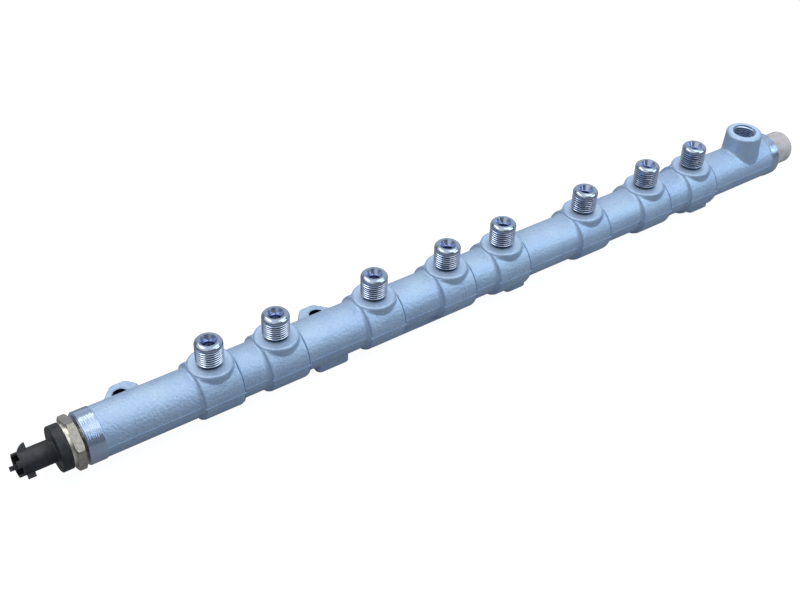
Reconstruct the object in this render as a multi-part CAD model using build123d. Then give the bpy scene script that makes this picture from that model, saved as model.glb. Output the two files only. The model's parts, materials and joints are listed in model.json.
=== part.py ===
from build123d import *
from math import radians, tan
import os

# Forged high-pressure fuel rail for a six-cylinder diesel engine, with its pressure sensor.
# Origin midway between the two bolt holes, on the plane of the machined feet.
# X runs along the rail away from the sensor, +Y is the bolted side, +Z the outlet side.

os.makedirs("parts", exist_ok=True)

# Making: how far cutters run past a face, and what keeps two nearly equal round faces apart
PAST = 1.0
HAIR = 0.05

# Forged tube
TUBE_R = 14.5
BORE_R = 5.5              # pressure volume
FLASH_W = 0.8             # trimmed flash line along the parting plane
FLASH_H = 0.16

# Collars under the outlets
COLLAR_R = TUBE_R + 2.4
COLLAR_HALF = 12.2
COLLAR_ROUND = 1.4        # outer corners
ROOT_ROUND = 2.0          # inner corners at the foot

# Outlets, M16 x 1.5: distances along the rail, then sizes above the rail axis
FIRST_PORT = -18.5
PORT_STEPS = [41.5, 65.6, 52.6, 42.4, 66.8, 54.0, 43.2]
PORT_X = [FIRST_PORT + sum(PORT_STEPS[:i]) for i in range(len(PORT_STEPS) + 1)]
FACE_H = COLLAR_R - 0.3   # spot face, just under the collar's crest
BOSS_R = 13.15
FACE_ROUND = 1.5
BLEND_R = 2.5             # forged blend between boss and collar
STUB_R = 8.0
STUB_L = 15.4
STUB_TOP = FACE_H + STUB_L
UNDERCUT_R = STUB_R - 1.15
UNDERCUT_H = 1.4
NOSE_ROUND = 2.6
CONE_MOUTH_R = 4.8
CONE_HALF_ANGLE = 30.0
THROTTLE_R = 2.5
THROTTLE_L = 6.5
THROTTLE_CHAMFER = 0.4
THROTTLE_SEAT = FACE_H + 0.9
FEED_R = 1.6
ORIFICE_R = 0.45

# Threaded boss for the relief valve, M16 x 1.5 inside
VALVE_STEP = 49.4         # from the last outlet
VALVE_X = PORT_X[-1] + VALVE_STEP
VALVE_TOP = TUBE_R + 12.5
VALVE_BASE_R = TUBE_R - 1.3
VALVE_TOP_R = VALVE_BASE_R - 1.1
VALVE_ROUND = 1.8
VALVE_BLEND_R = 2.0
VALVE_THREAD_R = 7.25
VALVE_THREAD_L = 14.0
VALVE_CHAMFER = 0.75
VALVE_FEED_R = 2.0
VALVE_SEAT_R = 3.4
VALVE_SEAT_L = 2.4

# Turned lands at both ends
LAND_STEP = 0.5
LAND_R = TUBE_R + LAND_STEP
SENSOR_LAND_L = 9.5
FAR_LAND_L = 6.8
LAND_CHAMFER = 0.8
LEFT_END = -96.4
FAR_STEP = 27.1           # from the valve boss
RIGHT_END = VALVE_X + FAR_STEP

# Far end stub, M20 x 1.5, with the protective cap pushed over it
INLET_R = 10.0
INLET_L = 14.5
INLET_UNDERCUT_R = INLET_R - 1.15
INLET_CHAMFER = 1.1
INLET_CONE_R = 5.6
INLET_BORE_R = 2.5
BORE_STOP = 11.0          # end of the wide bore before the far end
CAP_GAP = 0.1
CAP_WALL = 1.1
CAP_ROOM = 4.2            # between the stub's nose and the cap's floor
CAP_ROUND = 4.5

# Bolt lugs: plan about the hole, with the sloping flank first
BOLT_OFFSET = 22.0        # bolt line behind the rail axis
BOLT_SPACING = 126.0
HOLE_R = 4.5
HOLE_CHAMFER = 0.6
FOOT_DROP = TUBE_R + 4.5  # rail axis above the plane of the feet
LUG_SEAT = -2.0           # bolt seat, from the rail axis
LUG_ROOT = 9.0            # inner end of the lug, from the rail axis
LUG_FLANK = 22.0          # where the sloping flank starts, along the rail
LUG_BACK = 8.8            # hole centre to the back edge
LUG_BACK_X = (-2.6, 6.6)
LUG_SHOULDER = (11.2, 3.2)
LUG_SIDE = 12.6
LUG_CORNER = 3.6
LUG_EDGE = 0.8

# Feet under the rail
PAD_HALF = 8.0
PAD_CORNER = 3.0
PADS = [(PORT_X[4] + 1.3, 16.0), (PORT_X[7] - 0.7, 18.0)]  # start and length
LUG_FOOT = (-17.2, 4.6)   # about the hole of the second lug
LUG_FOOT_HALF = 7.5
LUG_FOOT_WALL = 2.0       # kept in front of the bolt hole
RIB_HALF = 7.0
RIB_IN = 8.0              # rib ends inside the collars it joins
RIB_DROP = COLLAR_R + 0.4

# Sensor's screwed body: distances outward from the end of the rail
PORT_THREAD_R = 8.25
PORT_DEPTH = 15.0
SHANK_GAP = 0.1
NOSE_R = 7.0
NOSE_L = 1.6
NECK_R = 7.3
HEX_AF = 27.0
HEX_START = 1.5
HEX_L = 4.8
HEX_TURN = 83.0
HEX_CHAMFER = 0.6
SENSOR_BORE_R = 1.5
CONNECTOR_TURN = 45.0

# Sleeve with what it holds
SLEEVE_R = 12.0
SLEEVE_WALL = 1.0
SLEEVE_L = 4.2
CELL_R = 4.2
CELL_L = 2.4
CELL_WALL = 0.4
SEAL_R = 0.6
SPIGOT_WALL = 0.9
SPIGOT_GAP = 0.2
SPIGOT_LIP = 0.6
BOARD_R = SLEEVE_R - SLEEVE_WALL - 2 * SEAL_R - SPIGOT_WALL - SPIGOT_GAP
BOARD_T = 0.8
BOARD_SINK = 0.3          # board's seat inside the sleeve's end
CARRIER_WALL = 2.6

# Connector housing
SKIRT_GAP = 0.1
SKIRT_WALL = 0.8
SKIRT_OVER = 2.4          # skirt over the sleeve
DISC_R = SLEEVE_R + SKIRT_GAP + SKIRT_WALL
DISC_START = HEX_START + HEX_L + SLEEVE_L - SKIRT_OVER
DISC_END = DISC_START + 5.8
DISC_PLATE = 2.2
DISC_ROUND = 0.5
BARREL_R = 6.6
BARREL_ROOT = 0.6
BARREL_WALL = 1.2
BARREL_END = DISC_END + 20.7
SOCKET_L = 12.6
TONGUE_T = 2.6
TONGUE_DROP = 0.6         # its middle below the axis, away from the latch
TONGUE_W = 6.2
TONGUE_END = BARREL_END + 3.0
POCKET_R = 4.6
POCKET_L = 4.0
INTO_WALL = 0.5           # how deep ramp and key start in the barrel's wall
LATCH_END = BARREL_END - 3.5
LATCH_START = LATCH_END - 4.3
LATCH_TOP = 0.3
LATCH_CROWN = 0.45        # how far the ramp bulges
LATCH_R = BARREL_R + 3.1
LATCH_W = 5.0
KEY_END = BARREL_END - 3.8
KEY_START = KEY_END - 3.9
KEY_R = BARREL_R + 2.4
KEY_W = 4.0
SLOT_L = 2.2
SLOT_W = 5.0
SLOT_CORNER = 0.6
SLOT_TURN = 90.0          # midway between the two slots, from the latch
SLOT_SPREAD = 39.0        # from there to each slot

# Contacts and their leaf springs
TERMINAL_W = 1.0
TERMINAL_T = 0.4
TERMINAL_PITCH = 1.9
CONTACT_PROUD = 0.1
CONTACT_SHORT = 3.6
FOOT_OUT = 1.0            # contact's foot below the pocket's floor
SPRING_T = 0.2
SPRING_W = 0.8
LEAF_BENDS = 5
LEAF_SWING = 0.8

ON_AXIS = Location((0, -BOLT_OFFSET, FOOT_DROP))


def save(shape, node):
    """Move a shape from the rail axis to the part's origin and write it."""
    export_step(shape.moved(ON_AXIS), f"parts/{node}.step")


def arc(centre, radius, start, end):
    """Step of an outline: middle and end point of an arc, angles in degrees."""
    mid = Vector(radius, 0).rotate(Axis.Z, (start + end) / 2)
    far = Vector(radius, 0).rotate(Axis.Z, end)
    return (centre[0] + mid.X, centre[1] + mid.Y, centre[0] + far.X, centre[1] + far.Y)


def outline(steps, plane):
    """Closed face from a start point, line ends (a, b) and arcs (mid a, mid b, end a, end b)."""
    edges = []
    here = steps[0]
    for step in steps[1:] + [steps[0]]:
        there = step[-2:]
        if len(step) == 4:
            edges.append(ThreePointArc(here, step[:2], there))
        elif there != here:
            edges.append(Line(here, there))
        here = there
    return plane * make_face(edges)


def turned_x(steps):
    """Turned solid about the rail axis from (x, radius) steps."""
    return revolve(outline(steps, Plane.XY), Axis.X)


def turned_z(steps):
    """Turned solid about an upright axis from (radius, z) steps."""
    return revolve(outline(steps, Plane.XZ), Axis.Z)


def rod_x(start, end, radius):
    """Cylinder along the rail from start to end."""
    return turned_x([(start, 0), (start, radius), (end, radius), (end, 0)])


def rod_z(start, end, radius):
    """Upright cylinder from start to end."""
    return turned_z([(0, start), (radius, start), (radius, end), (0, end)])


def block(xs, ys, zs):
    """Box from three ranges."""
    size = Box(xs[1] - xs[0], ys[1] - ys[0], zs[1] - zs[0], align=(Align.MIN, Align.MIN, Align.MIN))
    return Location((xs[0], ys[0], zs[0])) * size


def at_x(shape, x):
    """Copy of a shape moved along the rail."""
    return shape.moved(Location((x, 0, 0)))


# Outside of the rail: one turned outline with lands, tube and collars

def collar_steps(x):
    """Outline steps of one collar, from its left root to its right root."""
    left = x - COLLAR_HALF
    right = x + COLLAR_HALF
    root = TUBE_R + ROOT_ROUND
    high = COLLAR_R - COLLAR_ROUND
    return [
        (left - ROOT_ROUND, TUBE_R),
        arc((left - ROOT_ROUND, root), ROOT_ROUND, -90, 0),
        (left, high),
        arc((left + COLLAR_ROUND, high), COLLAR_ROUND, 180, 90),
        (right - COLLAR_ROUND, COLLAR_R),
        arc((right - COLLAR_ROUND, high), COLLAR_ROUND, 90, 0),
        (right, root),
        arc((right + ROOT_ROUND, root), ROOT_ROUND, 180, 270),
    ]


near_land = LEFT_END + SENSOR_LAND_L
far_land = RIGHT_END - FAR_LAND_L
steps = [(LEFT_END, 0), (LEFT_END, LAND_R - LAND_CHAMFER), (LEFT_END + LAND_CHAMFER, LAND_R)]
steps += [(near_land, LAND_R), (near_land + LAND_STEP, TUBE_R)]
for x in PORT_X:
    steps += collar_steps(x)
steps += [(far_land - LAND_STEP, TUBE_R), (far_land, LAND_R), (RIGHT_END - LAND_CHAMFER, LAND_R)]
steps += [(RIGHT_END, LAND_R - LAND_CHAMFER), (RIGHT_END, 0)]
rail = turned_x(steps)

flash_x = (near_land + LAND_STEP, far_land - LAND_STEP)
rail += block(flash_x, (-TUBE_R - FLASH_H, TUBE_R + FLASH_H), (-FLASH_W / 2, FLASH_W / 2))
collar_flash = block(
    (-COLLAR_HALF - FLASH_H, COLLAR_HALF + FLASH_H),
    (-COLLAR_R - FLASH_H, COLLAR_R + FLASH_H),
    (-FLASH_W / 2, FLASH_W / 2),
)

# Boss with its forged blend into the collar, at x = 0
reach = 3 * BOSS_R
blend_in = rod_x(-reach, reach, COLLAR_R - HAIR) + rod_z(0, reach, BOSS_R - HAIR)
saddle = [e for e in blend_in.edges() if e.geom_type not in (GeomType.LINE, GeomType.CIRCLE)]
blend_in = fillet(saddle, BLEND_R)
blend_x = COLLAR_HALF - COLLAR_ROUND
blend_in &= block((-blend_x, blend_x), (-COLLAR_R, COLLAR_R), (0, FACE_H))
boss = rod_z(0, FACE_H + PAST, BOSS_R) + blend_in + collar_flash

# Spot face, with the rounded corner that its cutter leaves
face_edge = BOSS_R - HAIR
spot_cut = turned_z([
    (0, FACE_H),
    (face_edge - FACE_ROUND, FACE_H),
    arc((face_edge - FACE_ROUND, FACE_H - FACE_ROUND), FACE_ROUND, 90, 0),
    (BOSS_R + BLEND_R, FACE_H - FACE_ROUND),
    (BOSS_R + BLEND_R, 2 * FACE_H),
    (0, 2 * FACE_H),
])

# Outlet stub with its undercut and nose
thread_start = FACE_H + UNDERCUT_H
relief = STUB_R - UNDERCUT_R
nose = STUB_TOP - NOSE_ROUND
stub = turned_z([
    (0, FACE_H - PAST),
    (UNDERCUT_R, FACE_H - PAST),
    (UNDERCUT_R, thread_start),
    (STUB_R, thread_start + relief / 2),
    (STUB_R, nose),
    arc((STUB_R - NOSE_ROUND, nose), NOSE_ROUND, 0, 90),
    (0, STUB_TOP),
])

# Cone seat, throttle bore and feed hole of an outlet
cone_slope = 1 / tan(radians(CONE_HALF_ANGLE))
cone_low = STUB_TOP - (CONE_MOUTH_R - THROTTLE_R) * cone_slope
outlet_cut = turned_z([
    (0, 0),
    (FEED_R, 0),
    (FEED_R, THROTTLE_SEAT),
    (THROTTLE_R, THROTTLE_SEAT),
    (THROTTLE_R, cone_low),
    (CONE_MOUTH_R, STUB_TOP),
    (CONE_MOUTH_R, STUB_TOP + PAST),
    (0, STUB_TOP + PAST),
])

for x in PORT_X:
    rail += at_x(boss, x)
for x in PORT_X:
    rail -= at_x(spot_cut, x)
for x in PORT_X:
    rail += at_x(stub, x)

# Threaded boss for the valve, forged with draft and blended into the tube
draft = (VALVE_BASE_R - VALVE_TOP_R) / VALVE_TOP
valve_edge = VALVE_TOP_R + draft * VALVE_ROUND
valve_boss = turned_z([
    (0, 0),
    (VALVE_BASE_R, 0),
    (valve_edge, VALVE_TOP - VALVE_ROUND),
    arc((valve_edge - VALVE_ROUND, VALVE_TOP - VALVE_ROUND), VALVE_ROUND, 0, 90),
    (0, VALVE_TOP),
])
reach = VALVE_BASE_R + 3 * VALVE_BLEND_R
valve_boss += rod_x(-reach, reach, TUBE_R - HAIR)
saddle = [e for e in valve_boss.edges() if e.geom_type not in (GeomType.LINE, GeomType.CIRCLE)]
valve_boss = fillet(saddle, VALVE_BLEND_R)
rail += at_x(valve_boss, VALVE_X)
thread_low = VALVE_TOP - VALVE_THREAD_L
valve_cut = turned_z([
    (0, 0),
    (VALVE_FEED_R, 0),
    (VALVE_FEED_R, thread_low - VALVE_SEAT_L),
    (VALVE_SEAT_R, thread_low),
    (VALVE_THREAD_R, thread_low),
    (VALVE_THREAD_R, VALVE_TOP - VALVE_CHAMFER),
    (VALVE_THREAD_R + VALVE_CHAMFER, VALVE_TOP),
    (VALVE_THREAD_R + VALVE_CHAMFER, VALVE_TOP + PAST),
    (0, VALVE_TOP + PAST),
])

# Inlet stub at the far end
inlet_relief = INLET_R - INLET_UNDERCUT_R
inlet_nose = RIGHT_END + INLET_L
rail += turned_x([
    (RIGHT_END - PAST, 0),
    (RIGHT_END - PAST, INLET_UNDERCUT_R),
    (RIGHT_END + UNDERCUT_H, INLET_UNDERCUT_R),
    (RIGHT_END + UNDERCUT_H + inlet_relief / 2, INLET_R),
    (inlet_nose - INLET_CHAMFER, INLET_R),
    (inlet_nose, INLET_R - INLET_CHAMFER),
    (inlet_nose, 0),
])

# Bolt lugs and feet, forged with the rail

def lug(side):
    """Bolt lug about x = 0; side is 1 with the sloping flank towards the sensor, else -1."""
    back = BOLT_OFFSET + LUG_BACK
    corners = [
        (-LUG_FLANK, LUG_ROOT),
        (LUG_BACK_X[0], back),
        (LUG_BACK_X[1], back),
        (LUG_SHOULDER[0], BOLT_OFFSET + LUG_SHOULDER[1]),
        (LUG_SIDE, LUG_ROOT),
    ]
    plan = make_face(Polyline(*[(side * a, b) for a, b in corners], close=True))
    plan = fillet(plan.vertices().filter_by(lambda v: v.Y > BOLT_OFFSET), LUG_CORNER)
    body = extrude(Location((0, 0, -FOOT_DROP)) * plan, LUG_SEAT + FOOT_DROP)
    ends = body.faces().sort_by(Axis.Z)
    rims = [e for face in (ends[0], ends[-1]) for e in face.edges().sort_by(Axis.Y)[1:]]
    return fillet(rims, LUG_EDGE)


hole_x = BOLT_SPACING / 2
rail += at_x(lug(1), -hole_x)
rail += at_x(lug(-1), hole_x)


def foot(xs, half, drop, corner):
    """Pad under the rail with rounded upright corners."""
    pad = block(xs, (-half, half), (-drop, -TUBE_R / 2))
    return fillet(pad.edges().filter_by(Axis.Z), corner)


for start, length in PADS:
    rail += foot((start, start + length), PAD_HALF, FOOT_DROP, PAD_CORNER)
rail += foot((PORT_X[2] - RIB_IN, PORT_X[3] + RIB_IN), RIB_HALF, RIB_DROP, PAD_CORNER)
under_lug = block(
    (hole_x + LUG_FOOT[0], hole_x + LUG_FOOT[1]),
    (-LUG_FOOT_HALF, BOLT_OFFSET - HOLE_R - LUG_FOOT_WALL),
    (-FOOT_DROP, -TUBE_R / 2),
)
front = under_lug.edges().filter_by(Axis.Z).sort_by(Axis.Y)[:2]
rail += fillet(front, PAD_CORNER)

# Bolt holes, chamfered at the bolt's seat
bolt_cut = turned_z([
    (0, -FOOT_DROP - PAST),
    (HOLE_R, -FOOT_DROP - PAST),
    (HOLE_R, LUG_SEAT - HOLE_CHAMFER),
    (HOLE_R + HOLE_CHAMFER, LUG_SEAT),
    (HOLE_R + HOLE_CHAMFER, LUG_SEAT + PAST),
    (0, LUG_SEAT + PAST),
])
for x in (-hole_x, hole_x):
    rail -= bolt_cut.moved(Location((x, BOLT_OFFSET, 0)))

# Bores: sensor port, pressure volume and inlet in one cutter, then the outlets and the valve port
seat = LEFT_END + PORT_DEPTH
bore_end = RIGHT_END - BORE_STOP
inlet_low = inlet_nose - (INLET_CONE_R - INLET_BORE_R) * cone_slope
rail -= turned_x([
    (LEFT_END - PAST, 0),
    (LEFT_END - PAST, PORT_THREAD_R + LAND_CHAMFER),
    (LEFT_END, PORT_THREAD_R + LAND_CHAMFER),
    (LEFT_END + LAND_CHAMFER, PORT_THREAD_R),
    (seat, PORT_THREAD_R),
    (seat, BORE_R),
    (bore_end, BORE_R),
    (bore_end + BORE_R / 2, INLET_BORE_R),
    (inlet_low, INLET_BORE_R),
    (inlet_nose, INLET_CONE_R),
    (inlet_nose + PAST, INLET_CONE_R),
    (inlet_nose + PAST, 0),
])
for x in PORT_X:
    rail -= at_x(outlet_cut, x)
rail -= at_x(valve_cut, VALVE_X)
save(rail, "rail_body")

# Throttles pressed into the outlets
throttle_top = THROTTLE_SEAT + THROTTLE_L
throttle = turned_z([
    (ORIFICE_R, THROTTLE_SEAT),
    (THROTTLE_R, THROTTLE_SEAT),
    (THROTTLE_R, throttle_top - THROTTLE_CHAMFER),
    (THROTTLE_R - THROTTLE_CHAMFER, throttle_top),
    (THROTTLE_R / 2, throttle_top),
    (THROTTLE_R / 2, THROTTLE_SEAT + THROTTLE_L / 2),
    (ORIFICE_R, THROTTLE_SEAT + THROTTLE_L / 3),
])
for i, x in enumerate(PORT_X):
    save(at_x(throttle, x), f"outlet_throttle_{i + 1}")

# Protective cap over the inlet stub
cap_end = inlet_nose + CAP_ROOM + CAP_WALL
cap_bore = INLET_R + CAP_GAP
cap_r = cap_bore + CAP_WALL
save(turned_x([
    (RIGHT_END, cap_bore),
    (RIGHT_END, cap_r),
    (cap_end - CAP_ROUND, cap_r),
    arc((cap_end - CAP_ROUND, cap_r - CAP_ROUND), CAP_ROUND, 90, 0),
    (cap_end, 0),
    (cap_end - CAP_WALL, 0),
    (cap_end - CAP_WALL, cap_r - CAP_ROUND),
    arc((cap_end - CAP_ROUND, cap_r - CAP_ROUND), CAP_ROUND - CAP_WALL, 0, 90),
]), "end_cap")

# Pressure sensor, built along -X from the end of the rail

def sensor(shape, node):
    """Turn a piece to the connector's angle, put it at the rail's end and write it."""
    save(shape.moved(Location((LEFT_END, 0, 0), (-CONNECTOR_TURN, 0, 0))), node)


def turned_out(steps):
    """Turned solid about the rail axis from (distance outward, radius) steps."""
    return mirror(turned_x(steps), Plane.YZ)


def block_out(outward, ys, zs):
    """Box between two distances outward from the rail's end."""
    return block((-outward[1], -outward[0]), ys, zs)


# Screwed body: sealing nose, shank, neck and hexagon round the pressure hole
hex_end = HEX_START + HEX_L
shank_r = PORT_THREAD_R - SHANK_GAP
body = turned_out([
    (-PORT_DEPTH, 0),
    (-PORT_DEPTH, NOSE_R),
    (NOSE_L - PORT_DEPTH, NOSE_R),
    (NOSE_L + shank_r - NOSE_R - PORT_DEPTH, shank_r),
    (-2 * NOSE_L, shank_r),
    (-2 * NOSE_L, NECK_R),
    (hex_end, NECK_R),
    (hex_end, 0),
])
hexagon = extrude(
    Plane.YZ * RegularPolygon(HEX_AF / 2, 6, major_radius=False, rotation=HEX_TURN),
    HEX_L,
)
hexagon = Location((-hex_end, 0, 0)) * hexagon
corner_r = HEX_AF / 3 ** 0.5
hexagon &= turned_out([
    (HEX_START, 0),
    (HEX_START, corner_r - 2 * HEX_CHAMFER),
    (HEX_START + HEX_CHAMFER, corner_r),
    (hex_end - HEX_CHAMFER, corner_r),
    (hex_end, corner_r - 2 * HEX_CHAMFER),
    (hex_end, 0),
])
body += hexagon
body -= turned_out([
    (-PORT_DEPTH - PAST, 0),
    (-PORT_DEPTH - PAST, SENSOR_BORE_R),
    (hex_end + PAST, SENSOR_BORE_R),
    (hex_end + PAST, 0),
])
sensor(body, "sensor_body")

# Measuring cell: steel cup with a thin membrane
cell_end = hex_end + CELL_L
cell_in = CELL_R / 2
sensor(turned_out([
    (hex_end, cell_in),
    (hex_end, CELL_R),
    (cell_end, CELL_R),
    (cell_end, 0),
    (cell_end - CELL_WALL, 0),
    (cell_end - CELL_WALL, cell_in),
]), "sensor_cell")

# Sleeve round the electronics
sleeve_end = hex_end + SLEEVE_L
sleeve_in = SLEEVE_R - SLEEVE_WALL
sensor(turned_out([
    (hex_end, sleeve_in),
    (hex_end, SLEEVE_R),
    (sleeve_end, SLEEVE_R),
    (sleeve_end, sleeve_in),
]), "sensor_sleeve")

# Carrier ring and circuit board
board_low = sleeve_end - BOARD_SINK
board_top = board_low + BOARD_T
sensor(turned_out([
    (hex_end, BOARD_R - CARRIER_WALL),
    (hex_end, BOARD_R),
    (board_low, BOARD_R),
    (board_low, BOARD_R - CARRIER_WALL),
]), "sensor_board_carrier")
sensor(turned_out([
    (board_low, 0),
    (board_low, BOARD_R),
    (board_top, BOARD_R),
    (board_top, 0),
]), "sensor_circuit_board")

# Seal between the sleeve and the spigot of the connector
spigot_r = sleeve_in - 2 * SEAL_R
plate_in = DISC_END - DISC_PLATE
seal = Torus(spigot_r + SEAL_R, SEAL_R).rotate(Axis.Y, 90)
sensor(seal.moved(Location((SEAL_R - plate_in, 0, 0))), "sensor_seal_ring")

# Connector: disc with skirt and spigot, barrel, latch, keys and contact tongue
barrel_in = BARREL_R - BARREL_WALL
socket_low = BARREL_END - SOCKET_L
pocket_end = plate_in + POCKET_L
spigot_low = plate_in - 2 * SEAL_R - SPIGOT_LIP
skirt_in = SLEEVE_R + SKIRT_GAP
housing = turned_out([
    (pocket_end, 0),
    (pocket_end, POCKET_R),
    (plate_in, POCKET_R),
    (plate_in, BOARD_R + SPIGOT_GAP),
    (spigot_low, BOARD_R + SPIGOT_GAP),
    (spigot_low, spigot_r),
    (plate_in, spigot_r),
    (plate_in, sleeve_in),
    (sleeve_end, sleeve_in),
    (sleeve_end, skirt_in),
    (DISC_START, skirt_in),
    (DISC_START, DISC_R),
    (DISC_END - DISC_ROUND, DISC_R),
    arc((DISC_END - DISC_ROUND, DISC_R - DISC_ROUND), DISC_ROUND, 90, 0),
    (DISC_END, BARREL_R + BARREL_ROOT),
    arc((DISC_END + BARREL_ROOT, BARREL_R + BARREL_ROOT), BARREL_ROOT, 180, 270),
    (BARREL_END, BARREL_R),
    (BARREL_END, barrel_in),
    (socket_low, barrel_in),
    (socket_low, 0),
])
housing += block_out(
    (socket_low - PAST, TONGUE_END),
    (-TONGUE_W / 2, TONGUE_W / 2),
    (-TONGUE_DROP - TONGUE_T / 2, TONGUE_T / 2 - TONGUE_DROP),
)

# Latch ramp on one side and a locating key on the other
ramp_foot = Vector(-LATCH_END, BARREL_R)
ramp_top = Vector(-LATCH_START - LATCH_TOP, LATCH_R)
crown = (ramp_foot + ramp_top) / 2 + (ramp_top - ramp_foot).rotate(Axis.Z, 90).normalized() * LATCH_CROWN
ramp = outline([
    (-LATCH_END, BARREL_R - INTO_WALL),
    (-LATCH_END, BARREL_R),
    (crown.X, crown.Y, ramp_top.X, ramp_top.Y),
    (-LATCH_START, LATCH_R),
    (-LATCH_START, BARREL_R - INTO_WALL),
], Plane.XZ)
housing += extrude(ramp, LATCH_W / 2, both=True)
housing += block_out((KEY_START, KEY_END), (-KEY_W / 2, KEY_W / 2), (-KEY_R, INTO_WALL - BARREL_R))

# Two slots, cut through the barrel's wall from its mouth
slot = block_out(
    (BARREL_END - SLOT_L, BARREL_END + PAST),
    (-SLOT_W / 2, SLOT_W / 2),
    (barrel_in - INTO_WALL, BARREL_R + PAST),
)
slot = fillet(slot.edges().filter_by(Axis.Z).sort_by(Axis.X)[2:], SLOT_CORNER)
for turn in (SLOT_TURN - SLOT_SPREAD, SLOT_TURN + SLOT_SPREAD):
    housing -= slot.rotate(Axis.X, turn)

# Three contacts set in the tongue, each on a leaf spring from the board
foot_end = pocket_end - FOOT_OUT
contact_top = TONGUE_T / 2 - TONGUE_DROP + CONTACT_PROUD
contact_z = (contact_top - TERMINAL_T, contact_top)
leaf_rows = []
leaf_l = foot_end - board_top
for i in range(LEAF_BENDS + 1):
    side = 0 if i in (0, LEAF_BENDS) else LEAF_SWING * (-1) ** i
    leaf_rows.append((-board_top - leaf_l * i / LEAF_BENDS, sum(contact_z) / 2 + side))
leaf = [(a, z + SPRING_T) for a, z in leaf_rows] + [(a, z - SPRING_T) for a, z in reversed(leaf_rows)]
leaf_face = make_face(Plane.XZ * Polyline(*leaf, close=True))
for i in range(3):
    y = (i - 1) * TERMINAL_PITCH
    contact = block_out(
        (foot_end, TONGUE_END - CONTACT_SHORT),
        (y - TERMINAL_W / 2, y + TERMINAL_W / 2),
        contact_z,
    )
    housing -= contact
    sensor(contact, f"sensor_contact_{i + 1}")
    spring = extrude(leaf_face, SPRING_W / 2, both=True)
    sensor(spring.moved(Location((0, y, 0))), f"sensor_spring_{i + 1}")
sensor(housing, "sensor_connector")
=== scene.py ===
import bmesh
import bpy
import json
from math import copysign, hypot, pi, radians, tan
from mathutils import Matrix, Vector


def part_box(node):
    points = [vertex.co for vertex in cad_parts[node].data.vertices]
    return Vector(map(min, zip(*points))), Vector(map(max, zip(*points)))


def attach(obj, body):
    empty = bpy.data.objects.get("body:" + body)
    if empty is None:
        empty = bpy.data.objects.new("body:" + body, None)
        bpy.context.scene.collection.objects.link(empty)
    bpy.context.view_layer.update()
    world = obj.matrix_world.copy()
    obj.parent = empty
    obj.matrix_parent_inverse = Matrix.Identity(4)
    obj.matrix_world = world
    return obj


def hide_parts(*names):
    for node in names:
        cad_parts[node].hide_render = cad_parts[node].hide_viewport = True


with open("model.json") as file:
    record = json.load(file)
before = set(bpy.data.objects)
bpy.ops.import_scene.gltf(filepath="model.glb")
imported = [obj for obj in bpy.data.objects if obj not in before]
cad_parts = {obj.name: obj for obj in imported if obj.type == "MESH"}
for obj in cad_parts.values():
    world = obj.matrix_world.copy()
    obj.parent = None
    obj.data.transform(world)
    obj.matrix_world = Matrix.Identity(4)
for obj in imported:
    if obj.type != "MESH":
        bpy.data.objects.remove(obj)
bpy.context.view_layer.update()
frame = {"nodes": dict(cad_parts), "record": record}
nodes = frame["nodes"]
mounts = {m["name"]: m for m in frame["record"]["mounts"]}

# Camera
# Stands in front of the rail's sensor end and looks down on it, a little rolled.
# Its place, turn and lens were fitted to the photographed rail's axis, outline and thread crests.
CAMERA_PLACE = (-0.2313, -0.4823, 0.4918)
CAMERA_TURN = -36.373
CAMERA_DIP = 39.358
CAMERA_ROLL = 2.428
CAMERA_LENS = 55.84
CAMERA_SENSOR = 36.0
CAMERA_NEAR_CLIP = 0.01
camera = bpy.data.objects.new("camera", bpy.data.cameras.new("camera"))
bpy.context.scene.collection.objects.link(camera)
camera.data.lens = CAMERA_LENS
camera.data.sensor_width = CAMERA_SENSOR
camera.data.sensor_fit = "HORIZONTAL"
camera.data.clip_start = CAMERA_NEAR_CLIP
aim = Matrix.Rotation(radians(CAMERA_TURN), 4, "Z")
aim = aim @ Matrix.Rotation(radians(90 - CAMERA_DIP), 4, "X")
aim = aim @ Matrix.Rotation(radians(CAMERA_ROLL), 4, "Z")
camera.matrix_world = Matrix.Translation(CAMERA_PLACE) @ aim
bpy.context.scene.camera = camera
bpy.context.scene.view_settings.view_transform = "Standard"


# Rail
# One steel forging: a tube with eight collars and bosses, a valve boss, two bolt lugs and its feet.
# It is shot-blasted and zinc-plated, so its skin is a matt pale blue with a fine dimpled grain.
class Signal:
    """A socket in a material's node tree. The operators on it add Math nodes to that tree."""

    def __init__(self, tree, socket=None):
        self.tree = tree
        self.socket = socket

    def node(self, kind, settings, sockets, output=0):
        """New node: its settings first, then the values or signals of its sockets."""
        made = self.tree.nodes.new("ShaderNode" + kind)
        for name, value in settings.items():
            if name == "stops":
                while len(made.color_ramp.elements) < len(value):
                    made.color_ramp.elements.new(1.0)
                for stop, (place, colour) in zip(made.color_ramp.elements, value):
                    stop.position = place
                    stop.color = (*colour, 1.0)
            else:
                setattr(made, name, value)
        for name, value in sockets.items():
            if isinstance(value, Signal):
                self.tree.links.new(value.socket, made.inputs[name])
            elif isinstance(value, tuple) and made.inputs[name].type == "RGBA":
                made.inputs[name].default_value = (*value, 1.0)
            else:
                made.inputs[name].default_value = value
        return Signal(self.tree, made.outputs[output])

    def beside(self, output):
        """Another output of the node that this signal comes from."""
        return Signal(self.tree, self.socket.node.outputs[output])

    def maths(self, operation, *values):
        """Math node on numbers or signals."""
        return self.node("Math", {"operation": operation}, dict(enumerate(values)))

    def __add__(self, other):
        return self.maths("ADD", self, other)

    __radd__ = __add__

    def __sub__(self, other):
        return self.maths("SUBTRACT", self, other)

    def __rsub__(self, other):
        return self.maths("SUBTRACT", other, self)

    def __mul__(self, other):
        return self.maths("MULTIPLY", self, other)

    __rmul__ = __mul__


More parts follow.
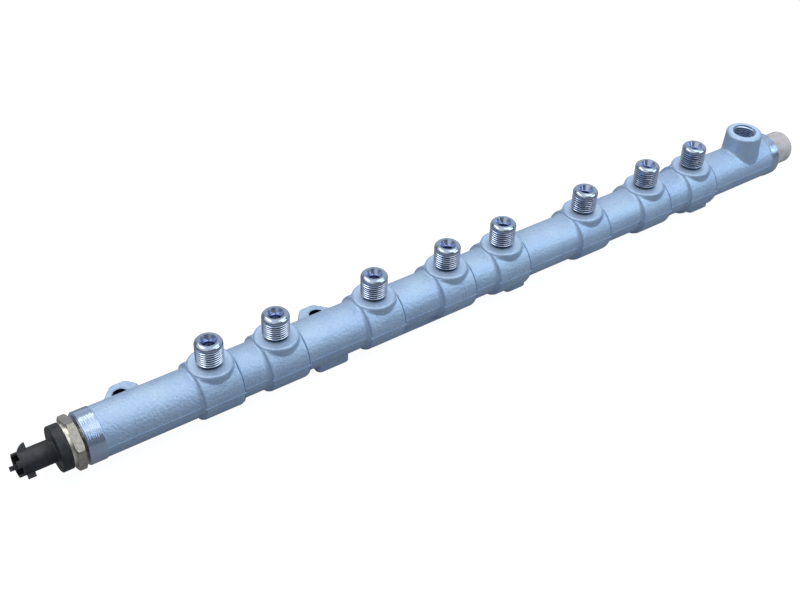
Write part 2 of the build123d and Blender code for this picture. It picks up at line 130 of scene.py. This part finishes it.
def finish(name):
    """Empty material; its first signal and its Principled shader, joined to the output."""
    material = bpy.data.materials.new(name)
    material.use_nodes = True
    tree = material.node_tree
    return material, Signal(tree), tree.nodes["Principled BSDF"]


def own_place(start):
    """The object's own coordinates."""
    return start.node("TexCoord", {}, {}, output="Object")


def noise(start, place, scale, detail=2.0, roughness=0.5):
    """Grey noise, 0.5 on average, scale in cycles per metre."""
    sockets = {"Vector": place, "Scale": scale, "Detail": detail, "Roughness": roughness}
    return start.node("TexNoise", {}, sockets)


def blend_colours(start, factor, first, second):
    """Colour between two colours, by the colour sockets of a Mix node."""
    return start.node("Mix", {"data_type": "RGBA"}, {0: factor, 6: first, 7: second}, output=2)


def relief(start, height, depth):
    """Normal from a height signal, depth in metres."""
    return start.node("Bump", {}, {"Height": height, "Distance": depth, "Strength": 1.0})


def plug(shader, name, value):
    """Puts a number or a signal on a socket of the shader."""
    if isinstance(value, Signal):
        value.tree.links.new(value.socket, shader.inputs[name])
    else:
        shader.inputs[name].default_value = value


SKIN_BLUE = (0.41, 0.57, 0.77)
SKIN_PALE = (0.57, 0.73, 0.84)
SKIN_VIOLET = (0.41, 0.50, 0.82)
GRAIN_WHITE = (0.86, 0.95, 1.0)
# Painted shade for the dents: a dark blue laid where the peen relief sinks.
PAINTED_DENT_SHADE = (0.14, 0.19, 0.32)
SKIN_METALLIC = 0.68
SKIN_ROUGHNESS = 0.45
PEEN_ROUGHNESS = 0.16
# Cells per metre
GRAIN = 1400.0
PEEN = 600.0
PATCH = 81.0
CLOUD = 30.0
# Shares of the colour
PATCH_SHARE = 0.9
GRAIN_SHARE = 0.9
DENT_SHADE_SHARE = 0.7
GRAIN_RELIEF = 0.5
DENT_DEPTH = 0.00030


def forged_finish():
    """Zinc on a shot-blasted skin: clouds and patches of three blues, pale grain and painted shade in the
    dents.
    """
    material, start, shader = finish("forged_zinc")
    place = own_place(start)
    grain = noise(start, place, GRAIN, detail=3.0, roughness=0.6)
    peen = noise(start, place, PEEN)
    cloud = noise(start, place, CLOUD, detail=4.0, roughness=0.6)
    patch = noise(start, place, PATCH, detail=3.0)
    colour = blend_colours(start, cloud, SKIN_BLUE, SKIN_VIOLET)
    colour = blend_colours(start, patch * PATCH_SHARE, colour, SKIN_PALE)
    colour = blend_colours(start, (grain - 0.5) * GRAIN_SHARE, colour, GRAIN_WHITE)
    # Painted shade: darker where the peen noise is low, which is where the relief makes dents.
    colour = blend_colours(start, (0.5 - peen) * DENT_SHADE_SHARE, colour, PAINTED_DENT_SHADE)
    plug(shader, "Base Color", colour)
    plug(shader, "Metallic", SKIN_METALLIC)
    plug(shader, "Roughness", SKIN_ROUGHNESS + PEEN_ROUGHNESS * peen)
    plug(shader, "Normal", relief(start, grain * GRAIN_RELIEF + peen, DENT_DEPTH))
    return material


WELD = 1e-6
forged = forged_finish()
rail = bmesh.new()
rail.from_mesh(nodes["rail_body"].data)
bmesh.ops.remove_doubles(rail, verts=rail.verts, dist=WELD)
for face in rail.faces:
    face.smooth = True


# Lands, bore, lug holes and feet
# Cut bright after forging: the lands at both ends and the pressure bore are turned, the undersides
# of the lugs and feet are milled level, and the bolt holes are drilled; their walls carry painted shade.
TURNED_CLOUD = 90.0
STREAK_ROUGHNESS = 0.12
# Cells per metre along X, Y and Z
TOOL_MARKS = 2600.0
STREAK = 60.0
MILL_MARKS = 900.0
ROUND_RAIL = (TOOL_MARKS, STREAK, STREAK)
ROUND_STUB = (STREAK, STREAK, TOOL_MARKS)
MILLED = (MILL_MARKS, MILL_MARKS, MILL_MARKS)


def turned_finish(name, colours, marks, roughness, depth, metallic=1.0):
    """Cut zinc; marks scales the noise so that its streaks run the way the tool went."""
    material, start, shader = finish(name)
    place = own_place(start)
    stretched = start.node("Mapping", {}, {"Vector": place, "Scale": marks})
    streak = noise(start, stretched, 1.0)
    cloud = noise(start, place, TURNED_CLOUD)
    plug(shader, "Base Color", blend_colours(start, cloud, *colours))
    plug(shader, "Metallic", metallic)
    plug(shader, "Roughness", roughness + STREAK_ROUGHNESS * streak)
    plug(shader, "Normal", relief(start, streak, depth))
    return material


LAND_COLOURS = ((0.44, 0.57, 0.80), (0.60, 0.68, 0.80))
FACE_COLOURS = ((0.58, 0.74, 0.98), (0.68, 0.82, 1.0))
# Painted shade: near-black colours for the undercuts, the bore below each thread and the bolt holes'
# walls.
PAINTED_SHADE_COLOURS = ((0.03, 0.035, 0.05), (0.07, 0.08, 0.11))
turned_land = turned_finish("turned_zinc_land", LAND_COLOURS, ROUND_RAIL, roughness=0.14, depth=0.00014)
spot_face = turned_finish("spot_face", FACE_COLOURS, MILLED, roughness=0.46, depth=0.00006, metallic=0.7)
painted_shade_finish = turned_finish("zinc_undercut", PAINTED_SHADE_COLOURS, ROUND_STUB, roughness=0.40, depth=0.00004)

# The rail's material slots after the forged skin's
LAND, STUB, CONE, PAINTED_SHADE_SLOT, FLANK_SHADE_SLOT, FACE = range(1, 7)
AXIS = Vector(mounts["connector"]["pos_m"])
RAIL_LOW, RAIL_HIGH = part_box("rail_body")
BORE_R = 0.0057
SENSOR_LAND_L = 0.0095
FAR_LAND_L = 0.0068
INLET_STUB_L = 0.0145
HOLES = mounts["mounting_holes"]["dims"]
WALL_NORMAL_Z = 0.5
LEVEL_SLACK = 1e-5
HOLE_SLACK = 1e-4
near_land_end = RAIL_LOW.x + SENSOR_LAND_L
far_land_start = RAIL_HIGH.x - INLET_STUB_L - FAR_LAND_L
hole_x = HOLES["spacing_x_mm"] / 2000
hole_r = HOLES["hole_r_mm"] / 1000 + HOLE_SLACK
for face in rail.faces:
    middle = face.calc_center_median()
    on_land = middle.x < near_land_end or middle.x > far_land_start
    in_bore = hypot(middle.y - AXIS.y, middle.z - AXIS.z) < BORE_R
    in_hole = hypot(abs(middle.x) - hole_x, middle.y) < hole_r
    if on_land or in_bore:
        face.material_index = LAND
    elif middle.z < RAIL_LOW.z + LEVEL_SLACK:
        face.material_index = FACE
    # The bolt holes' walls get the painted shade.
    elif in_hole and abs(face.normal.z) < WALL_NORMAL_Z:
        face.material_index = PAINTED_SHADE_SLOT

# Outlets
# Eight connectors for the high-pressure lines, turned on the forged bosses: a level spot face, an undercut
# with painted shade, a stub for an M16 x 1.5 nut, a round nose and a bright cone that the line seals in.
# Their walls are set back to the thread's core here, so that the turns can be laid over them.
CUT_COLOURS = ((0.43, 0.52, 0.70), (0.53, 0.59, 0.69))
CONE_COLOURS = ((0.30, 0.37, 0.58), (0.58, 0.64, 0.80))
# Painted shade: dark blues on the outlet threads' lower flanks stand in for the shade between the turns.
FLANK_SHADE_COLOURS = ((0.11, 0.14, 0.20), (0.21, 0.26, 0.36))
turned_stub = turned_finish("turned_zinc_stub", CUT_COLOURS, ROUND_STUB, roughness=0.10, depth=0.00006)
cone_seat = turned_finish("turned_zinc_cone", CONE_COLOURS, MILLED, roughness=0.12, depth=0.00003)
flank_shade_finish = turned_finish("zinc_thread_flank", FLANK_SHADE_COLOURS, ROUND_STUB, roughness=0.40, depth=0.00004)

OUTLETS = [mounts[f"outlet_{i + 1}"] for i in range(8)]
STUB_R = OUTLETS[0]["dims"]["r_mm"] / 1000
SPOT_R = 0.0119
FACE_H = 0.0166
CONE_R = 0.005
THREAD_L = 0.0106
THREAD_DEPTH = 0.0009
RUN_OUT = 0.0004
CORE_SINK = 0.00006
WALL_SLACK = 2e-4
LEVEL_NORMAL_Z = 0.99
face_level = AXIS.z + FACE_H - LEVEL_SLACK
bore_level = AXIS.z + FACE_H / 2


def radius_from(vert, axis_at):
    """Distance of a point from an upright axis."""
    return hypot(vert.co.x - axis_at[0], vert.co.y - axis_at[1])


def set_radius(vert, radius, axis_at=(0.0, 0.0)):
    """Moves a point straight out or in to a radius about an upright axis."""
    share = radius / radius_from(vert, axis_at)
    vert.co.x = axis_at[0] + (vert.co.x - axis_at[0]) * share
    vert.co.y = axis_at[1] + (vert.co.y - axis_at[1]) * share


def face_place(face, axis_at):
    """Height of a face's middle, and its distance from an upright axis."""
    middle = face.calc_center_median()
    return middle.z, hypot(middle.x - axis_at[0], middle.y - axis_at[1])


def thread_start(outlet):
    """Height at which an outlet's thread starts: the low end of its mount."""
    return outlet["pos_m"][2] - outlet["dims"]["length_mm"] / 2000


def cut_level(outlet, z):
    """Cuts an outlet's faces at a height, so that the wall below can be moved by itself."""
    low = thread_start(outlet) - LEVEL_SLACK
    axis_at = outlet["pos_m"]
    inside = {v for v in rail.verts if v.co.z > low and radius_from(v, axis_at) < SPOT_R}
    near = [f for f in rail.faces if inside.issuperset(f.verts)]
    parts = dict.fromkeys(near + [e for f in near for e in f.edges] + [v for f in near for v in f.verts])
    bmesh.ops.bisect_plane(rail, geom=list(parts), plane_co=(0, 0, z), plane_no=(0, 0, 1))


def outlet_slot(face, outlet):
    """Material slot of a face by its place on an outlet; off the outlet it keeps its own."""
    height, out = face_place(face, outlet["pos_m"])
    on_stub = out < STUB_R + LEVEL_SLACK and height > face_level
    in_bore = out < CONE_R and height > bore_level
    if in_bore and face.normal.z < LEVEL_NORMAL_Z:
        return CONE
    if on_stub or in_bore:
        # The undercut and the bore below the thread's start get the painted shade.
        return PAINTED_SHADE_SLOT if height < thread_start(outlet) + WALL_SLACK else STUB
    if out < SPOT_R and height > face_level:
        return FACE
    return face.material_index


for outlet in OUTLETS:
    axis_at = outlet["pos_m"]
    low = thread_start(outlet)
    high = low + THREAD_L
    cut_level(outlet, high)
    cut_level(outlet, high + RUN_OUT)
    for vert in rail.verts:
        threaded = low - LEVEL_SLACK < vert.co.z < high + LEVEL_SLACK
        if threaded and abs(radius_from(vert, axis_at) - STUB_R) < WALL_SLACK:
            set_radius(vert, STUB_R - THREAD_DEPTH - CORE_SINK, axis_at)
    for face in rail.faces:
        face.material_index = outlet_slot(face, outlet)

# Valve port
# Upright boss near the far end, faced level, bored and tapped M16 x 1.5 for the relief valve.
# Its wall is opened to the thread's core here, for the same reason as the outlets'.
VALVE = mounts["valve_port"]
VALVE_H = 0.027
VALVE_MOUTH_R = 0.0082
VALVE_FACE_R = 0.0112
VALVE_THREAD_R = VALVE["dims"]["r_mm"] / 1000
VALVE_THREAD_L = 0.014
VALVE_THREAD_DEPTH = 0.0008
VALVE_CORE_R = VALVE_THREAD_R + VALVE_THREAD_DEPTH
valve_top = AXIS.z + VALVE_H
valve_bottom = valve_top - VALVE_THREAD_L
for vert in rail.verts:
    off_wall = abs(radius_from(vert, VALVE["pos_m"]) - VALVE_THREAD_R)
    if off_wall < WALL_SLACK and vert.co.z > valve_bottom - HOLE_SLACK:
        set_radius(vert, VALVE_CORE_R + CORE_SINK, VALVE["pos_m"])
for face in rail.faces:
    height, out = face_place(face, VALVE["pos_m"])
    if out < VALVE_MOUTH_R and height > AXIS.z:
        face.material_index = STUB
    elif out < VALVE_FACE_R and height > valve_top - LEVEL_SLACK:
        face.material_index = FACE

# Threads
# Right-hand V threads of 1.5 mm pitch, cut on a lathe outside the outlets and tapped in the port.
# Each is a closed ring of turns that runs out at both ends and lies over the wall's core.
PITCH = 0.0015
CREST_FLAT = PITCH / 8
FLANK_SLOPE = tan(radians(30))
STEPS_PER_TURN = 40
LEAD_IN = 1.5 * PITCH
SPARE_TURNS = 3
RING_WALL = 0.0004
# Faces turned further down than this get the painted flank shade.
SHADED_NORMAL_Z = -0.2
UNDERCUT_OVERLAP = 0.0003
VALVE_RING_LIFT = 0.0004
VALVE_RING_DROP = 0.0003


def wind_turns(root, crest, low, high):
    """Open sheet of turns about the Z axis, cut off level at low and high."""
    flank = abs(crest - root) * FLANK_SLOPE
    radii = (root, crest, crest, root, root)
    heights = (0, flank, flank + CREST_FLAT, 2 * flank + CREST_FLAT, PITCH)
    sheet = bmesh.new()
    points = [sheet.verts.new((r, 0, low - LEAD_IN + z)) for r, z in zip(radii, heights)]
    lines = [sheet.edges.new(ends) for ends in zip(points, points[1:])]
    turns = int((high - low) / PITCH) + SPARE_TURNS
    bmesh.ops.spin(
        sheet, geom=points + lines, cent=(0, 0, 0), axis=(0, 0, 1), dvec=(0, 0, PITCH / STEPS_PER_TURN),
        angle=2 * pi * turns, steps=turns * STEPS_PER_TURN, use_merge=False,
    )
    bmesh.ops.remove_doubles(sheet, verts=sheet.verts, dist=WELD)
    for z, side in ((low, -1), (high, 1)):
        bmesh.ops.bisect_plane(
            sheet, geom=sheet.verts[:] + sheet.edges[:] + sheet.faces[:],
            plane_co=(0, 0, z), plane_no=(0, 0, side), clear_outer=True,
        )
    return sheet


def run_out_ends(sheet, root, depth, low, high):
    """Sinks the turns' crests into the root towards both ends."""
    for vert in sheet.verts:
        reach = min(1.0, min(vert.co.z - low, high - vert.co.z) / RUN_OUT)
        share = (radius_from(vert, (0, 0)) - root) / depth
        set_radius(vert, root + depth * min(share, max(reach, 0.0)))


def close_back(sheet, back, low, high):
    """Closes the sheet to a ring with end rims and a plain back at a radius."""
    rims = []
    for z in (low, high):
        edge = [e for e in sheet.edges if e.is_boundary and all(abs(v.co.z - z) < WELD for v in e.verts)]
        made = bmesh.ops.extrude_edge_only(sheet, edges=edge)["geom"]
        fresh = [g for g in made if isinstance(g, bmesh.types.BMVert)]
        for vert in fresh:
            set_radius(vert, back)
        rims += [g for g in made if isinstance(g, bmesh.types.BMEdge) and all(v in fresh for v in g.verts)]
    bmesh.ops.bridge_loops(sheet, edges=rims)


def add_thread(axis_at, root, crest, low, high, bright, shaded):
    """Adds a threaded ring to the rail: its lower flanks take the shaded slot, for painted shade, and the
    rest the bright one.

    A crest inside its root makes the thread of a nut.
    """
    depth = crest - root
    ring = wind_turns(root, crest, low, high)
    run_out_ends(ring, root, depth, low, high)
    close_back(ring, root - copysign(RING_WALL, depth), low, high)
    bmesh.ops.recalc_face_normals(ring, faces=ring.faces)
    bmesh.ops.translate(ring, verts=ring.verts, vec=(axis_at[0], axis_at[1], 0))
    for face in ring.faces:
        face.material_index = shaded if face.normal.z < SHADED_NORMAL_Z else bright
    mesh = bpy.data.meshes.new("ring")
    ring.to_mesh(mesh)
    ring.free()
    rail.from_mesh(mesh)
    bpy.data.meshes.remove(mesh)


for outlet in OUTLETS:
    low = thread_start(outlet) - UNDERCUT_OVERLAP
    high = thread_start(outlet) + THREAD_L
    add_thread(outlet["pos_m"], STUB_R - THREAD_DEPTH, STUB_R, low, high, STUB, FLANK_SHADE_SLOT)
low = valve_bottom + VALVE_RING_LIFT
high = valve_top - VALVE_RING_DROP
add_thread(VALVE["pos_m"], VALVE_CORE_R, VALVE_THREAD_R, low, high, LAND, LAND)

# Finished rail
# The forging with all that is cut into it, one piece of steel bolted to the engine by its lugs.
# It takes the plain solid's place, and is smooth but for its turned corners.
SHARP_ANGLE = 32
rail_mesh = bpy.data.meshes.new("rail")
rail.to_mesh(rail_mesh)
rail.free()
if "custom_normal" in rail_mesh.attributes:
    rail_mesh.attributes.remove(rail_mesh.attributes["custom_normal"])
rail_mesh.polygons.foreach_set("use_smooth", [True] * len(rail_mesh.polygons))
rail_mesh.set_sharp_from_angle(angle=radians(SHARP_ANGLE))
for material in (forged, turned_land, turned_stub, cone_seat, painted_shade_finish, flank_shade_finish, spot_face):
    rail_mesh.materials.append(material)
rail_piece = bpy.data.objects.new("rail", rail_mesh)
bpy.context.scene.collection.objects.link(rail_piece)
weighted = rail_piece.modifiers.new("weighted", "WEIGHTED_NORMAL")
weighted.keep_sharp = True
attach(rail_piece, "root")
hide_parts("rail_body")


# Throttles
# Eight small ground steel plugs with a fine hole, pressed into the outlets below their cones.
# They damp the pressure waves that the injectors send back through the lines.
def repaint(names, material):
    """Gives CAD nodes their material."""
    for name in names:
        nodes[name].material_slots[0].material = material


GROUND = ((0.30, 0.31, 0.33), (0.40, 0.41, 0.44))
GRIND_MARKS = (300.0, 300.0, TOOL_MARKS)
throttles = [f"outlet_throttle_{i + 1}" for i in range(8)]
repaint(throttles, turned_finish("ground_throttle", GROUND, GRIND_MARKS, roughness=0.3, depth=0.00003))


# Sensor body
# Pressure sensor's steel hexagon with its shank, screwed into the near end of the rail.
# It is nickel-plated, satin, with darker spots where the plating is thin.
MARK_ROUGHNESS = 0.14


def plated_finish(name, colours, roughness, marks, depth, spots=160.0):
    """Plated metal between two colours, with fine marks."""
    material, start, shader = finish(name)
    place = own_place(start)
    fine = noise(start, place, marks, detail=3.0)
    cloud = noise(start, place, spots, detail=3.0)
    plug(shader, "Base Color", blend_colours(start, cloud, *colours))
    plug(shader, "Metallic", 1.0)
    plug(shader, "Roughness", roughness + MARK_ROUGHNESS * fine)
    plug(shader, "Normal", relief(start, fine, depth))
    return material


NICKEL = ((0.30, 0.27, 0.29), (0.70, 0.65, 0.50))
nickel_plate = plated_finish(
    "nickel_plate", NICKEL, roughness=0.22, marks=1500.0, depth=0.00006, spots=520.0,
)
repaint(["sensor_body"], nickel_plate)

# Measuring cell
# Turned steel cup seated on the hexagon's outer face, over the pressure hole.
# Its thin membrane bends with the fuel's pressure, and strain gauges on it measure that.
CELL_STEEL = ((0.5, 0.5, 0.5), (0.6, 0.6, 0.6))
cell_steel = plated_finish("cell_steel", CELL_STEEL, roughness=0.3, marks=900.0, depth=0.00003)
repaint(["sensor_cell"], cell_steel)


# Board carrier
# Moulded grey plastic ring that stands on the hexagon round the cell.
# It holds the circuit board at a distance from the cell.
PLASTIC_CLOUD = 220.0
PLASTIC_FADE = (0.3, 0.7)
SPARK_ROUGHNESS = 0.2


def fade(signal, low, high):
    """0 up to low, 1 from high on."""
    return signal.node("MapRange", {}, {0: signal, 1: low, 2: high})


def plastic_finish(name, colours, roughness, depth, marks=1800.0):
    """Moulded plastic between two colours."""
    material, start, shader = finish(name)
    place = own_place(start)
    fine = noise(start, place, marks, detail=3.0)
    cloud = noise(start, place, PLASTIC_CLOUD, detail=3.0)
    plug(shader, "Base Color", blend_colours(start, fade(cloud, *PLASTIC_FADE), *colours))
    plug(shader, "Roughness", roughness + SPARK_ROUGHNESS * fine)
    plug(shader, "Normal", relief(start, fine, depth))
    return material


CARRIER_GREY = ((0.16, 0.16, 0.15), (0.2, 0.2, 0.19))
carrier_plastic = plastic_finish("carrier_plastic", CARRIER_GREY, roughness=0.5, depth=0.00004)
repaint(["sensor_board_carrier"], carrier_plastic)

# Circuit board
# Round board of glass-fibre laminate, lacquered green, seated on the carrier.
# It turns the cell's signal into the one that leaves through the contacts.
LACQUER_GREEN = ((0.02, 0.13, 0.06), (0.03, 0.17, 0.08))
board_laminate = plastic_finish("board_laminate", LACQUER_GREEN, roughness=0.3, depth=0.00002)
repaint(["sensor_circuit_board"], board_laminate)

# Contacts and springs
# Three flat brass contacts set in the connector's tongue, each on a leaf spring bent from brass
# strip that leads to it from the board. All are flashed with gold.
BRASS = ((0.72, 0.55, 0.26), (0.80, 0.64, 0.34))
contacts = [f"sensor_{kind}_{i + 1}" for kind in ("contact", "spring") for i in range(3)]
repaint(contacts, plated_finish("contact_brass", BRASS, roughness=0.28, marks=1400.0, depth=0.00002))

# Sensor sleeve
# Bright drawn steel ring, a little golden, that stands on the hexagon round the electronics.
# The connector's spigot sits in its open end, and the skirt of the disc closes over it.
SLEEVE = ((0.86, 0.80, 0.66), (0.92, 0.88, 0.78))
sleeve_plate = plated_finish("sleeve_plate", SLEEVE, roughness=0.16, marks=900.0, depth=0.00002)
repaint(["sensor_sleeve"], sleeve_plate)

# Seal ring
# Moulded black rubber ring between the sleeve and the connector's spigot.
# It keeps water away from the board.
RUBBER = ((0.02, 0.02, 0.02), (0.03, 0.03, 0.03))
repaint(["sensor_seal_ring"], plastic_finish("seal_rubber", RUBBER, roughness=0.55, depth=0.00002))

# Connector
# Disc, barrel, latch ramp, key and tongue in one moulding of black glass-filled plastic, pushed
# on the sleeve. Its surface is finely sparked, a little grey where it is rubbed.
BLACK = ((0.010, 0.010, 0.011), (0.045, 0.046, 0.048))
repaint(["sensor_connector"], plastic_finish("black_plastic", BLACK, roughness=0.42, depth=0.00006))

# Protective cap
# Soft milky plastic, moulded thin and smooth, pushed over the inlet stub to keep dirt out.
# Light passes through it a little, and the metal below shows as a shadow.
MILK = ((0.74, 0.63, 0.57), (1.0, 0.97, 1.0))
CAP_TRANSMISSION = 0.5
CAP_IOR = 1.4
CAP_COAT = 1.0
CAP_COAT_ROUGHNESS = 0.06
cap_finish = plastic_finish("cap_plastic", MILK, roughness=0.28, depth=0.000004, marks=400.0)
cap_shader = cap_finish.node_tree.nodes["Principled BSDF"]
plug(cap_shader, "Transmission Weight", CAP_TRANSMISSION)
plug(cap_shader, "IOR", CAP_IOR)
plug(cap_shader, "Coat Weight", CAP_COAT)
plug(cap_shader, "Coat Roughness", CAP_COAT_ROUGHNESS)
repaint(["end_cap"], cap_finish)

# Floor
# Smooth paper that the rail rests on. It is dark grey to the rail above it, and pure white with a
# faint shadow to the camera and through the cap; glossy metal mirrors a little of that white.
FLOOR_HALF = 6.0
FLOOR_GREY = (0.17, 0.18, 0.20)
FLOOR_PALE = (0.95, 0.95, 0.95)
WHITE = (1.0, 1.0, 1.0)
GLOW = 1.12
SHADOW_SHARE = 0.16
GLOSSY_SHARE = 0.14
floor_shape = bmesh.new()
bmesh.ops.create_grid(floor_shape, x_segments=1, y_segments=1, size=FLOOR_HALF)
floor_mesh = bpy.data.meshes.new("floor")
floor_shape.to_mesh(floor_mesh)
floor_shape.free()
floor = bpy.data.objects.new("floor", floor_mesh)
bpy.context.scene.collection.objects.link(floor)


def seen_white(start):
    """1 for camera and transmission rays, a small share for glossy rays, 0 for the rest."""
    camera_ray = start.node("LightPath", {}, {}, output="Is Camera Ray")
    glossy_ray = camera_ray.beside("Is Glossy Ray")
    through_ray = camera_ray.beside("Is Transmission Ray")
    return start.maths("MINIMUM", camera_ray + through_ray + glossy_ray * GLOSSY_SHARE, 1.0)


def paper_finish():
    """Grey floor for the light, white glow with some of the shadow for the camera."""
    material, start, shader = finish("pale_floor")
    material.node_tree.nodes.remove(shader)
    grey = start.node("BsdfDiffuse", {}, {"Color": FLOOR_GREY})
    pale = start.node("BsdfDiffuse", {}, {"Color": FLOOR_PALE})
    glow = start.node("Emission", {}, {"Color": WHITE, "Strength": GLOW})
    backdrop = start.node("MixShader", {}, {0: SHADOW_SHARE, 1: glow, 2: pale})
    surface = start.node("MixShader", {}, {0: seen_white(start), 1: grey, 2: backdrop})
    output = material.node_tree.nodes["Material Output"]
    material.node_tree.links.new(surface.socket, output.inputs["Surface"])
    return material


floor_mesh.materials.append(paper_finish())

# Sky
# A broad studio dome in four zones: dim and blue in front, bright overhead, middling at the back,
# and a bright panel half way up on the sensor's side. The camera sees it white.
SKY_FRONT = (0.045, 0.055, 0.075)
SKY_TOP = (0.74, 0.82, 0.90)
SKY_BACK = (0.50, 0.57, 0.66)
SKY_LEFT = (0.85, 0.90, 0.95)
# Heights at which the front starts to brighten and the top is reached
FRONT_END = 0.5
TOP_START = 0.86
# Shares of right, back and up, and limits, of the zone at the back
BACK_SHARES = (0.9, 0.8, -0.6)
BACK_FADE = (0.2, 0.7)
LEFT_LIFT = 0.5
LEFT_FADE = (0.62, 0.88)
PANEL_FADE = (0.28, 0.40)


def sky_colour(start):
    """Colour of the dome by direction."""
    direction = start.node("TexCoord", {}, {}, output="Generated")
    right = start.node("SeparateXYZ", {}, {0: direction})
    back = right.beside("Y")
    height = right.beside("Z")
    sky = start.node("ValToRGB", {"stops": ((FRONT_END, SKY_FRONT), (TOP_START, SKY_TOP))}, {0: height})
    right_share, back_share, height_share = BACK_SHARES
    behind = fade(right * right_share + back * back_share + height * height_share, *BACK_FADE)
    sky = blend_colours(start, behind, sky, SKY_BACK)
    panel = fade(height * LEFT_LIFT - right, *LEFT_FADE) * fade(height, *PANEL_FADE)
    return blend_colours(start, panel, sky, SKY_LEFT)


world = bpy.data.worlds.new("studio")
world.use_nodes = True
bpy.context.scene.world = world
start = Signal(world.node_tree)
dome = blend_colours(start, seen_white(start), sky_colour(start), WHITE)
world.node_tree.links.new(dome.socket, world.node_tree.nodes["Background"].inputs["Color"])

# Soft boxes
# Three wide lamps hung round the rail and turned to its middle. Each has its place, its two sides,
# its power and its tint: warm behind the near end, neutral overhead, cool in front of the far end.
AIM_POINT = Vector((0.15, -0.02, 0.02))
SOFTBOXES = (
    ((-0.26, 0.34, 0.90), (0.90, 0.32), 2.2, (1.0, 0.98, 0.93)),
    ((0.46, -0.16, 0.88), (0.85, 0.46), 1.35, (1.0, 0.99, 0.98)),
    ((0.90, -0.85, 0.72), (0.80, 0.60), 4.4, (0.64, 0.83, 1.0)),
)
for i, (hung_at, sides, power, tint) in enumerate(SOFTBOXES):
    lamp = bpy.data.objects.new(f"softbox_{i + 1}", bpy.data.lights.new(f"softbox_{i + 1}", "AREA"))
    bpy.context.scene.collection.objects.link(lamp)
    lamp.data.shape = "RECTANGLE"
    lamp.data.size, lamp.data.size_y = sides
    lamp.data.energy = power
    lamp.data.color = tint
    lamp.location = hung_at
    lamp.rotation_euler = (Vector(hung_at) - AIM_POINT).to_track_quat("Z", "Y").to_euler()
